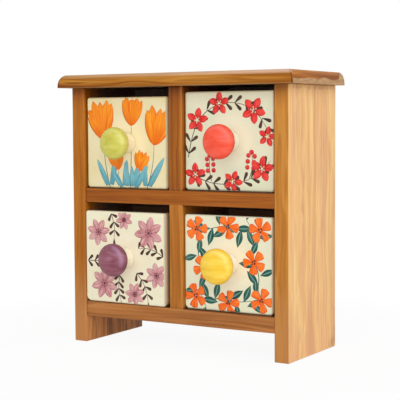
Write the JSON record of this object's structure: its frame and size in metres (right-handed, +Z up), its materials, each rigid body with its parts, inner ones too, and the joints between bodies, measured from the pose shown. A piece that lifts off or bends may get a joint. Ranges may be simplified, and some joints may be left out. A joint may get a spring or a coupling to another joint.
{
  "type": "tabletop drawer chest",
  "caption": "Small wooden tabletop chest with side boards as feet, a rounded overhanging top and sliding glazed ceramic drawers with round knobs.",
  "frame": {"origin": "on the floor at the middle of the box that holds the chest and its knobs", "axes": "+Z up, the drawers open towards -Y, +X from the left drawers to the right ones"},
  "size_m": [0.2368, 0.1182, 0.2425],
  "materials": {
    "top_wood": "honey-stained softwood, satin wax",
    "side_wood": "honey-stained softwood, satin wax",
    "rail_wood": "honey-stained softwood, satin wax",
    "divider_wood": "honey-stained softwood, satin wax",
    "back_ply": "thin stained plywood",
    "dowel_wood": "plain beech dowel",
    "pin_steel": "dull steel pin",
    "zinc_steel": "zinc-plated steel",
    "glaze_cream": "cream gloss glaze with brushed flowers",
    "glaze_mint": "pale mint-cream gloss glaze with brushed flowers",
    "glaze_ivory": "ivory gloss glaze with brushed flowers",
    "glaze_celadon": "pale celadon gloss glaze with brushed flowers",
    "knob_lime": "brushed lime glaze on a cream neck",
    "knob_coral": "brushed coral glaze on a cream neck",
    "knob_plum": "brushed plum glaze on a cream neck",
    "knob_yellow": "brushed yellow glaze on a cream neck"
  },
  "bodies": {
    "carcass": {"top_board": "top_wood", "left_side": "side_wood", "right_side": "side_wood", "bottom_shelf": "rail_wood", "middle_shelf": "rail_wood", "upper_divider": "divider_wood", "lower_divider": "divider_wood", "back_panel": "back_ply", "back_panel_pins": "pin_steel", "top_dowels": "dowel_wood", "middle_shelf_dowels": "dowel_wood", "bottom_shelf_dowels": "dowel_wood", "divider_through_dowels": "dowel_wood", "lower_divider_dowels": "dowel_wood"},
    "upper_left_tray": {"upper_left_drawer": "glaze_cream", "upper_left_knob": "knob_lime", "upper_left_knob_stud": "zinc_steel", "upper_left_knob_washer": "zinc_steel", "upper_left_knob_nut": "zinc_steel"},
    "upper_right_tray": {"upper_right_drawer": "glaze_mint", "upper_right_knob": "knob_coral", "upper_right_knob_stud": "zinc_steel", "upper_right_knob_washer": "zinc_steel", "upper_right_knob_nut": "zinc_steel"},
    "lower_left_tray": {"lower_left_drawer": "glaze_ivory", "lower_left_knob": "knob_plum", "lower_left_knob_stud": "zinc_steel", "lower_left_knob_washer": "zinc_steel", "lower_left_knob_nut": "zinc_steel"},
    "lower_right_tray": {"lower_right_drawer": "glaze_celadon", "lower_right_knob": "knob_yellow", "lower_right_knob_stud": "zinc_steel", "lower_right_knob_washer": "zinc_steel", "lower_right_knob_nut": "zinc_steel"}
  },
  "joints": [
    {"name": "upper_left_slide", "type": "slide", "parent": "carcass", "child": "upper_left_tray", "axis": [0, -1, 0], "range_m": [-0.0031, 0.0529]},
    {"name": "upper_right_slide", "type": "slide", "parent": "carcass", "child": "upper_right_tray", "axis": [0, -1, 0], "range_m": [-0.0006, 0.0554]},
    {"name": "lower_left_slide", "type": "slide", "parent": "carcass", "child": "lower_left_tray", "axis": [0, -1, 0], "range_m": [-0.0061, 0.0499]},
    {"name": "lower_right_slide", "type": "slide", "parent": "carcass", "child": "lower_right_tray", "axis": [0, -1, 0], "range_m": [-0.0023, 0.0537]}
  ]
}
